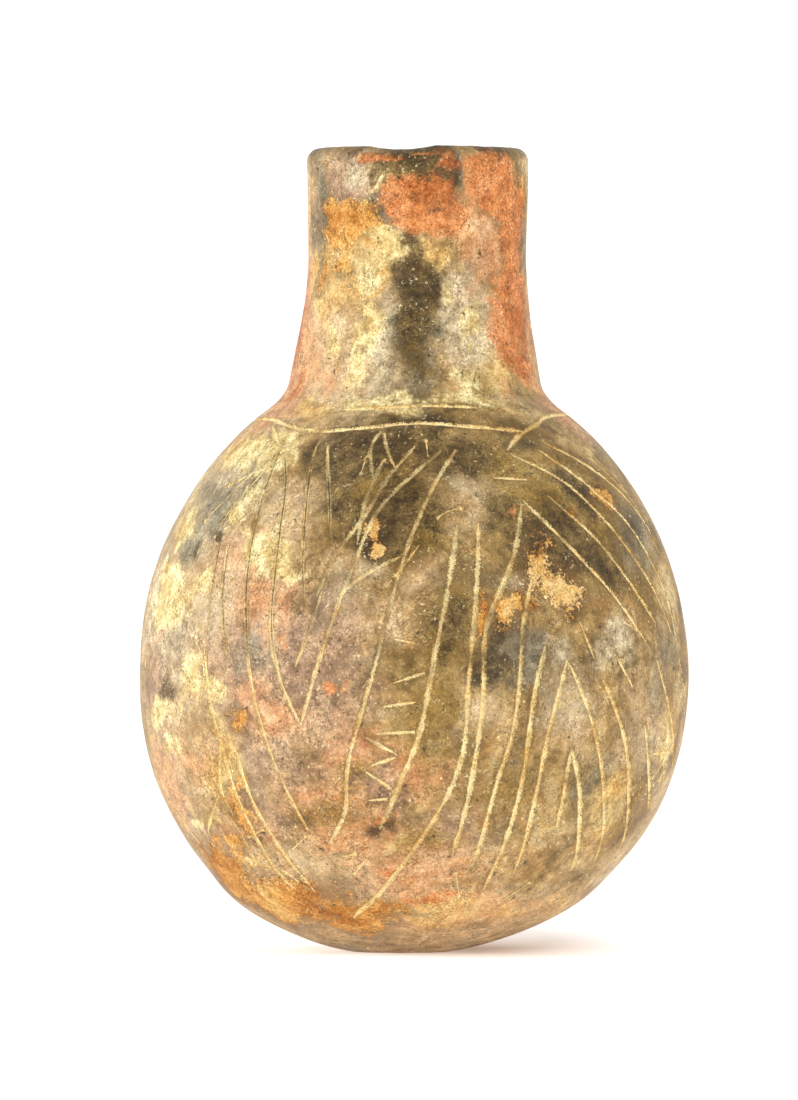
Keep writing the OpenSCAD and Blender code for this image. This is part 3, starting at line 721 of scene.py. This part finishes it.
def add_inside(outer, faces):
    """Adds the lip and the inside, faces too, and gives how far inside each point is, from 0 to 1."""
    section = section_inside()
    a = np.radians(np.arange(RIM_POINTS) * 360 / RIM_POINTS)
    rings = [about_axis(r, a, z) for r, z in section[:-1]]
    spots = np.vstack([outer] + rings + [[[0, 0, section[-1][1]]]])
    starts = [0] + [len(outer) + k * RIM_POINTS for k in range(len(rings))]
    after = [(i + 1) % RIM_POINTS for i in range(RIM_POINTS)]
    for low, high in zip(starts, starts[1:]):
        faces += [(low + i, low + j, high + j, high + i) for i, j in enumerate(after)]
    faces += [(starts[-1] + i, starts[-1] + j, len(spots) - 1) for i, j in enumerate(after)]
    lip_rings = 2 * LIP_POINTS
    lip = smoothstep(LIP_POINTS, lip_rings, np.arange(1, lip_rings + 1))
    below = len(spots) - len(outer) - lip_rings * RIM_POINTS
    inside = np.concatenate((np.zeros(len(outer)), np.repeat(lip, RIM_POINTS), np.ones(below)))
    return spots, inside


def zone_field(zones, angle, height, wall):
    """How far inside the nearest patch each point is: 1 in the middle of a strong one, 0 at its edge."""
    field = np.full(len(angle), -1.0)
    for middle_a, middle_h, half_a, half_h, tilt, strength in zones:
        per_degree = math.radians(1) * float(wall.radius(middle_h))
        across = ((angle - middle_a + 180) % 360 - 180) * per_degree
        up = height - middle_h
        cos, sin = math.cos(math.radians(tilt)), math.sin(math.radians(tilt))
        far = np.hypot((across * cos + up * sin) / (half_a * per_degree), (up * cos - across * sin) / half_h)
        field = np.maximum(field, strength - far)
    return field


def frayed(spots):
    """Each point's angle and height, pushed about by noise, so that no patch keeps its oval outline."""
    across, along = layered(spots, FRAY_ACROSS), layered(spots, FRAY_ALONG)
    around = np.maximum(np.hypot(spots[:, 0], spots[:, 1]), LEAST_R)
    return angle_of(spots) + np.degrees(across / around), spots[:, 2] + along


def back_zones(kind, rng):
    """Patches for the unseen back, of the same kinds and sizes as those in front."""
    count, half_a, half_h = BACK_PATCHES[kind]
    zones = []
    for _ in range(count):
        size = rng.uniform(*BACK_SIZE)
        angle, height = rng.uniform(*BACK_ANGLE), rng.uniform(*BACK_HEIGHT)
        tall = half_h * size * rng.uniform(*BACK_TALL)
        tilt, strength = rng.uniform(*BACK_TILT), rng.uniform(*BACK_STRENGTH)
        zones.append((angle, height, half_a * size, tall, tilt, strength))
    return zones


def patch_fields(spots, inside, wall, rng):
    """For each kind of patch, how far inside one of them each point is."""
    angle, height = frayed(spots)
    fields = {"open_cut_shade": zone_field(SHADED_CUTS, angle, height, wall)}
    for kind, zones in PATCHES.items():
        field = zone_field(zones + back_zones(kind, rng), angle, height, wall)
        fields[kind] = np.where(inside > 0.5, -1.0, field)
    return fields


def shape_by_hand(p, inside):
    """Moves true points to where hands and wear left them: waves, a lean, a worn rim, a foot off centre."""
    out = np.array(p)
    outward = unit(without_height(p))
    free = smoothstep(0.0, FREE_H, p[:, 2])
    wave = layered(p, WALL_WAVES)
    out += outward * (wave * free * np.where(inside > 0, WAVE_INSIDE, 1.0))[:, None]
    at_rim = smoothstep(RIM_H - LIP_H, RIM_H, p[:, 2])
    out[:, 2] += at_rim * (layered(without_height(p), RIM_WAVES) - RIM_WEAR)
    off = np.radians((angle_of(p) - DIP_ANGLE + 180) % 360 - 180) * MOUTH_R
    out[:, 2] -= at_rim * DIP_H * np.clip(1 - (off / (DIP_W / 2)) ** 2, 0, 1)
    out[:, 0] += NECK_LEAN * smoothstep(NECK_LEAN_FROM, RIM_H, p[:, 2])
    out[:, 0] += FOOT_SHIFT * (1 - np.clip(p[:, 2] / FOOT_SHIFT_H, 0, 1)) ** 2
    swell = FOOT_SWELL * np.clip(1 - ((p[:, 2] - FOOT_SWELL_H) / FOOT_SWELL_W) ** 2, 0, 1) ** 2
    out += outward * np.where(inside > 0, 0, swell)[:, None]
    return out


def mesh_piece(name, spots, faces, fields):
    """A smooth mesh object, with a number for each point under each field's name."""
    mesh = bpy.data.meshes.new(name)
    mesh.from_pydata((spots * MM).tolist(), [], faces)
    mesh.polygons.foreach_set("use_smooth", [True] * len(mesh.polygons))
    for field, values in fields.items():
        mesh.attributes.new(field, "FLOAT", "POINT").data.foreach_set("value", values.astype(np.float32))
    mesh.update()
    piece = bpy.data.objects.new(name, mesh)
    bpy.context.scene.collection.objects.link(piece)
    return piece


def vessel():
    rng = np.random.default_rng(SEED)
    wall = Wall()
    outer, faces, gap, pale = outer_skin(wall, all_cuts(wall), rng)
    spots, inside = add_inside(outer, faces)
    uncut = len(spots) - len(outer)
    fields = {"cut_gap": np.concatenate((gap, np.full(uncut, FAR)))}
    fields["cut_pale"] = np.concatenate((pale, np.zeros(uncut)))
    fields["inside"] = inside
    fields.update(patch_fields(spots, inside, wall, rng))
    chipped = CHIP_DEPTH * smoothstep(*CHIP_EDGE, fields["chip"])
    spots = spots - unit(without_height(spots)) * chipped[:, None]
    return mesh_piece("fired_vessel", shape_by_hand(spots, inside), faces, fields)


def colour(code):
    """Linear colour of a hex code."""
    parts = [int(code[i:i + 2], 16) / 255 for i in (1, 3, 5)]
    return tuple(c / 12.92 if c <= 0.04045 else ((c + 0.055) / 1.055) ** 2.4 for c in parts) + (1.0,)


class Nodes:
    """Shorthand for wiring a node tree."""

    def __init__(self, tree):
        self.tree = tree
        tree.nodes.clear()

    def add(self, kind, inputs, out=0, **settings):
        node = self.tree.nodes.new(kind)
        for key, value in settings.items():
            setattr(node, key, value)
        for key, value in inputs.items():
            if isinstance(value, bpy.types.NodeSocket):
                self.tree.links.new(value, node.inputs[key])
            else:
                node.inputs[key].default_value = value
        return node.outputs[out]

    def end(self, kind, shader):
        node = self.tree.nodes.new(kind)
        self.tree.links.new(shader, node.inputs["Surface"])

    def math(self, operation, a, b=0.0, c=0.0):
        return self.add("ShaderNodeMath", {0: a, 1: b, 2: c}, operation=operation)

    def times(self, a, b):
        return self.math("MULTIPLY", a, b)

    def larger(self, a, b):
        return self.math("MAXIMUM", a, b)

    def plus(self, value, share, total):
        """The total with a share of a value added to it."""
        return self.math("MULTIPLY_ADD", value, share, total)

    def stir(self, noisy, share, total):
        """The total moved up and down by a share of a noise, whose middle is 0.5."""
        return self.math("MULTIPLY_ADD", self.math("SUBTRACT", noisy, 0.5), share, total)

    def step(self, value, low, high, to_low=0.0, to_high=1.0):
        """A soft step between two values, which may fall as well as rise."""
        inputs = {"Value": value, "From Min": low, "From Max": high, "To Min": to_low, "To Max": to_high}
        return self.add("ShaderNodeMapRange", inputs, interpolation_type="SMOOTHSTEP")

    def mix(self, share, a, b):
        """The colour a, with a share of the colour b over it, which may be a hex code."""
        b = colour(b) if isinstance(b, str) else b
        return self.add("ShaderNodeMix", {0: share, 6: a, 7: b}, out=2, data_type="RGBA")

    def ramp(self, value, stops):
        """A soft run of colours, given as (place, hex code)."""
        node = self.tree.nodes.new("ShaderNodeValToRGB")
        self.tree.links.new(value, node.inputs[0])
        ramp = node.color_ramp
        ramp.interpolation = "B_SPLINE"
        while len(ramp.elements) < len(stops):
            ramp.elements.new(1.0)
        for element, (place, code) in zip(ramp.elements, stops):
            element.position = place
            element.color = colour(code)
        return node.outputs[0]

    def field(self, name):
        """The number that the mesh holds for each point under this name."""
        return self.add("ShaderNodeAttribute", {}, out=2, attribute_name=name)


class ClayNodes(Nodes):
    """A node tree with the noises that the whole finish is made from, from broad clouds to fine crumbs."""

    def __init__(self, tree):
        super().__init__(tree)
        self.where = self.add("ShaderNodeTexCoord", {}, out=3)
        self.broad = self.noise(24, 8, 0.62, 0.8)
        self.wide = self.three(78, 6, 0.62, 0.6)
        self.close = self.three(330, 5, 0.66, 0.3)
        self.grain = self.noise(1500, 4, 0.7)
        self.crumb = self.noise(2600, 2, 0.5)
        self.streak = self.stroke(5, 0.65, 0.3, (0, 0, 0), (420, 420, 60))
        self.slant = self.stroke(5, 0.65, 0.3, (0.5, 0.9, 0.3), (500, 90, 500))
        self.rubbed = self.stroke(3, 0.6, 0.2, (0.3, -0.7, 0.2), (1500, 1500, 190))

    def noise(self, scale, detail, rough, warp=0.0, where=None, out=0):
        inputs = {"Scale": scale, "Detail": detail, "Roughness": rough, "Distortion": warp}
        inputs["Vector"] = where or self.where
        return self.add("ShaderNodeTexNoise", inputs, out=out)

    def three(self, scale, detail, rough, warp):
        """Three noises of one size that have nothing to do with each other."""
        node = self.add("ShaderNodeSeparateColor", {0: self.noise(scale, detail, rough, warp, out=1)}).node
        return [node.outputs[i] for i in range(3)]

    def stroke(self, detail, rough, warp, turn, scale):
        """Noise drawn out into strokes: turned, and then scaled differently along each axis."""
        turned = self.add("ShaderNodeMapping", {"Vector": self.where, "Rotation": turn})
        where = self.add("ShaderNodeVectorMath", {0: turned, 1: scale}, operation="MULTIPLY")
        return self.noise(1.0, detail, rough, warp, where)


def burnished(n):
    """Olive and brown clouds, with the strokes of the burnisher."""
    cloud = n.plus(n.wide[0], 0.55, n.times(n.broad, 0.45))
    cloud = n.stir(n.streak, 0.16, cloud)
    cloud = n.stir(n.close[0], 0.34, cloud)
    base = n.ramp(cloud, CLAY)
    base = n.mix(n.step(n.wide[1], 0.50, 0.68, 0, 0.45), base, WARM_CLOUD)
    return n.mix(n.step(n.wide[2], 0.50, 0.66, 0, 0.35), base, GREY_CLOUD)


def patches(n, base):
    """Lays each kind of patch over those before it, and gives where each kind shows."""
    masks = {}
    for i, (kind, (dark, middle, light, soft, fray, cover)) in enumerate(TONES.items()):
        edge = n.plus(n.wide[i % 3], 0.55, n.times(n.close[(i + i // 3) % 3], 0.45))
        edge = n.stir(edge, FRAYING * fray, n.field(kind))
        if kind in CRUSTS:
            edge = n.stir(n.grain, CRUST_GRAIN, edge)
            base = n.mix(n.step(edge, -soft - 0.5, -soft, 0, 0.45), base, CRUST_EDGE)
        own = n.plus(n.close[(i + 1) % 3], 0.4, n.times(n.wide[(i + 2) % 3], 0.6))
        own = n.stir(n.grain, 0.30, own)
        masks[kind] = n.step(edge, -soft, soft, 0, cover)
        base = n.mix(masks[kind], base, n.ramp(own, [(0.38, dark), (0.50, middle), (0.62, light)]))
    return base, masks


def small_marks(n, base, cream):
    """Pale flecks and short scratches, dark pits, and fine cracks in the cream and where the clay is worn."""
    fleck = n.times(n.step(n.noise(900, 4, 0.65), 0.62, 0.65), n.step(n.wide[1], 0.45, 0.58))
    scratch = n.step(n.stroke(3, 0.6, 0.5, (0.4, 0.5, 0.2), (1500, 240, 1500)), 0.64, 0.68)
    scratch = n.times(scratch, n.step(n.wide[2], 0.46, 0.58))
    base = n.mix(n.times(n.larger(fleck, scratch), 0.7), base, FLECK)
    pit = n.step(n.noise(620, 4, 0.65), 0.37, 0.31)
    base = n.mix(n.times(pit, 0.75), base, PIT)
    ridge = n.math("ABSOLUTE", n.math("SUBTRACT", n.noise(480, 3, 0.55, 0.8), 0.5))
    crack = n.times(n.step(ridge, 0.020, 0.006), n.step(n.close[1], 0.44, 0.54))
    crack = n.times(crack, n.larger(n.step(n.wide[0], 0.44, 0.56), cream))
    return n.mix(n.times(crack, 0.70), base, CRACK), pit, crack


def sooty_rim(n, base):
    """Soot on the rim, with an uneven lower edge."""
    level = n.add("ShaderNodeSeparateXYZ", {0: n.where}, out=2)
    level = n.stir(n.close[0], 0.008, level)
    level = n.stir(n.wide[1], 0.010, level)
    share = n.times(n.step(level, SOOT_FROM, SOOT_FULL), n.step(n.wide[2], 0.40, 0.56, 0.9, 0.4))
    return n.mix(share, base, n.ramp(n.close[1], SOOT))


def mottled(n, base):
    """Fine light and dark grain over all colours, stronger where the clay is worn."""
    tone = n.plus(n.close[2], 0.34, n.times(n.grain, 0.32))
    tone = n.plus(n.rubbed, 0.08, n.plus(n.crumb, 0.26, tone))
    tone = n.stir(tone, n.step(n.wide[0], 0.42, 0.58, 2.6, 4.6), TONE_MEAN)
    tone = n.add("ShaderNodeVectorMath", {0: TONE_TINT, "Scale": tone}, operation="SCALE")
    return n.add("ShaderNodeVectorMath", {0: base, 1: tone}, operation="MULTIPLY")


def filled_cuts(n, base):
    """Fills the cuts: pale crumbs of deposit with painted shade in and along each cut, and painted shade down
    the middle of the open cuts in the left sweeps.
    """
    gap, pale = n.field("cut_gap"), n.field("cut_pale")
    ragged = n.stir(n.crumb, 3.2, gap)
    ragged = n.stir(n.grain, 3.4, ragged)
    ragged = n.stir(n.close[1], 2.2, ragged)
    base = n.mix(n.step(ragged, 2.0, 1.2, 0, 0.35), base, CUT_EDGE_SHADE)
    there = n.step(n.stir(pale, 0.25, n.wide[1]), 0.40, 0.54, 0.35, 1.0)
    there = n.times(there, n.plus(pale, 0.55, 0.45))
    there = n.times(there, n.step(n.math("ADD", n.close[0], n.grain), 0.90, 1.04, 0.75, 1.1))
    fill = n.times(n.step(ragged, 1.05, 0.75), there)
    tint = n.plus(n.crumb, 0.35, n.times(n.wide[2], 0.35))
    tint = n.plus(n.grain, 0.30, tint)
    base = n.mix(fill, base, n.ramp(tint, DEPOSIT))
    middle = n.stir(n.grain, 1.6, gap)
    dark = n.times(n.step(middle, 0.6, 0.25), n.step(n.field("open_cut_shade"), -0.1, 0.3))
    return n.mix(n.times(dark, 0.75), base, CUT_SHADE), fill


def relief(n, pit, crack, dry):
    """The fine bumps of the clay, coarser where a dry crust lies on it."""
    height = n.plus(n.close[2], 0.6, n.times(n.grain, 0.45))
    parts = ((n.wide[0], 1.1), (n.slant, 0.08), (n.rubbed, 0.06), (n.crumb, 0.15),
             (pit, -0.35), (crack, -0.15), (n.times(n.grain, dry), 0.6))
    for value, share in parts:
        height = n.plus(value, share, height)
    return n.add("ShaderNodeBump", {"Strength": 0.6, "Distance": BUMP_HEIGHT, "Height": height})


def fired_clay():
    material = bpy.data.materials.new("fired_clay")
    material.use_nodes = True
    n = ClayNodes(material.node_tree)
    base, masks = patches(n, burnished(n))
    base, pit, crack = small_marks(n, base, masks["cream"])
    base, fill = filled_cuts(n, mottled(n, sooty_rim(n, base)))
    # Painted shade over the whole inside
    base = n.mix(n.field("inside"), base, n.ramp(n.broad, HOLLOW_SHADE))
    dry = n.larger(n.larger(fill, masks["chip"]), n.times(masks["cream"], 0.7))
    dry = n.larger(dry, n.times(masks["ochre"], 0.8))
    rough = n.plus(n.close[0], 0.30, n.plus(dry, 0.34, 0.30))
    n.end("ShaderNodeOutputMaterial", n.add("ShaderNodeBsdfPrincipled", {
        "Base Color": base, "Roughness": rough, "Specular IOR Level": 0.17,
        "Normal": relief(n, pit, crack, dry)}))
    return material


def plain_floor():
    """A white table lit from below, less so behind the bottle, where the dimmer glow is a painted shadow of
    the bottle.
    """
    mesh = bpy.data.meshes.new("studio_floor")
    corners = [(x * FLOOR_HALF, y * FLOOR_HALF, 0) for x, y in ((-1, -1), (1, -1), (1, 1), (-1, 1))]
    mesh.from_pydata(corners, [], [(0, 1, 2, 3)])
    floor = bpy.data.objects.new("studio_floor", mesh)
    bpy.context.scene.collection.objects.link(floor)
    material = bpy.data.materials.new("lit_white_table")
    material.use_nodes = True
    n = Nodes(material.node_tree)
    where = n.add("ShaderNodeTexCoord", {}, out=3)
    place = {"Vector": where, "Location": SHADE_AT, "Scale": SHADE_SIZE}
    spot = n.add("ShaderNodeMapping", place, vector_type="TEXTURE")
    away = n.add("ShaderNodeVectorMath", {0: spot}, out=1, operation="LENGTH")
    # Less glow in the oval round SHADE_AT: a painted shadow
    glow = n.mix(n.step(away, 0.5, 1.5), SHADE_GLOW, OPEN_GLOW)
    n.end("ShaderNodeOutputMaterial", n.add("ShaderNodeBsdfPrincipled", {
        "Base Color": TABLE_COLOUR, "Roughness": 1.0, "Specular IOR Level": 0.0,
        "Emission Color": glow, "Emission Strength": 1.0}))
    mesh.materials.append(material)


def softbox(name, place, size, power):
    light = bpy.data.lights.new(name, "AREA")
    light.shape = "RECTANGLE"
    light.size, light.size_y = size
    light.energy = power
    lamp = bpy.data.objects.new(name, light)
    lamp.location = place
    lamp.rotation_euler = (Vector(LIGHT_AIM) - Vector(place)).to_track_quat("-Z", "Y").to_euler()
    bpy.context.scene.collection.objects.link(lamp)


def studio():
    """A white room that is dimmer in front of the bottle, with a softbox on each side."""
    world = bpy.data.worlds.new("white_studio")
    bpy.context.scene.world = world
    world.use_nodes = True
    n = Nodes(world.node_tree)
    towards = n.add("ShaderNodeTexCoord", {}, out=0)
    y = n.add("ShaderNodeSeparateXYZ", {0: towards}, out=1)
    room = n.step(y, -1.0, 0.0, ROOM_FRONT, ROOM_BACK)
    seen = n.add("ShaderNodeLightPath", {}, out=0)
    strength = n.larger(n.times(seen, BACKDROP), room)
    white = {"Color": (1, 1, 1, 1), "Strength": strength}
    n.end("ShaderNodeOutputWorld", n.add("ShaderNodeBackground", white))
    for box in SOFTBOXES:
        softbox(*box)
    bpy.context.scene.view_settings.view_transform = "Standard"


def camera():
    data = bpy.data.cameras.new("photo_camera")
    data.sensor_width = SENSOR
    data.lens = SENSOR * CAMERA_DISTANCE / (PHOTO_H * PHOTO_MM_PER_PX)
    data.clip_start, data.clip_end = 0.01, 50
    cam = bpy.data.objects.new("photo_camera", data)
    side = (PHOTO_W / 2 - BODY_CENTRE_X) * PHOTO_MM_PER_PX
    middle = (FOOT_Y - PHOTO_H / 2) * PHOTO_MM_PER_PX
    cam.location = Vector((side, -CAMERA_DISTANCE, CAMERA_H)) * MM
    cam.rotation_euler = (math.pi / 2 - math.atan2(CAMERA_H - middle, CAMERA_DISTANCE), 0, 0)
    bpy.context.scene.collection.objects.link(cam)
    bpy.context.scene.camera = cam


piece = vessel()
piece.data.materials.append(fired_clay())
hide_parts("bottle")
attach(piece, "root")
plain_floor()
studio()
camera()
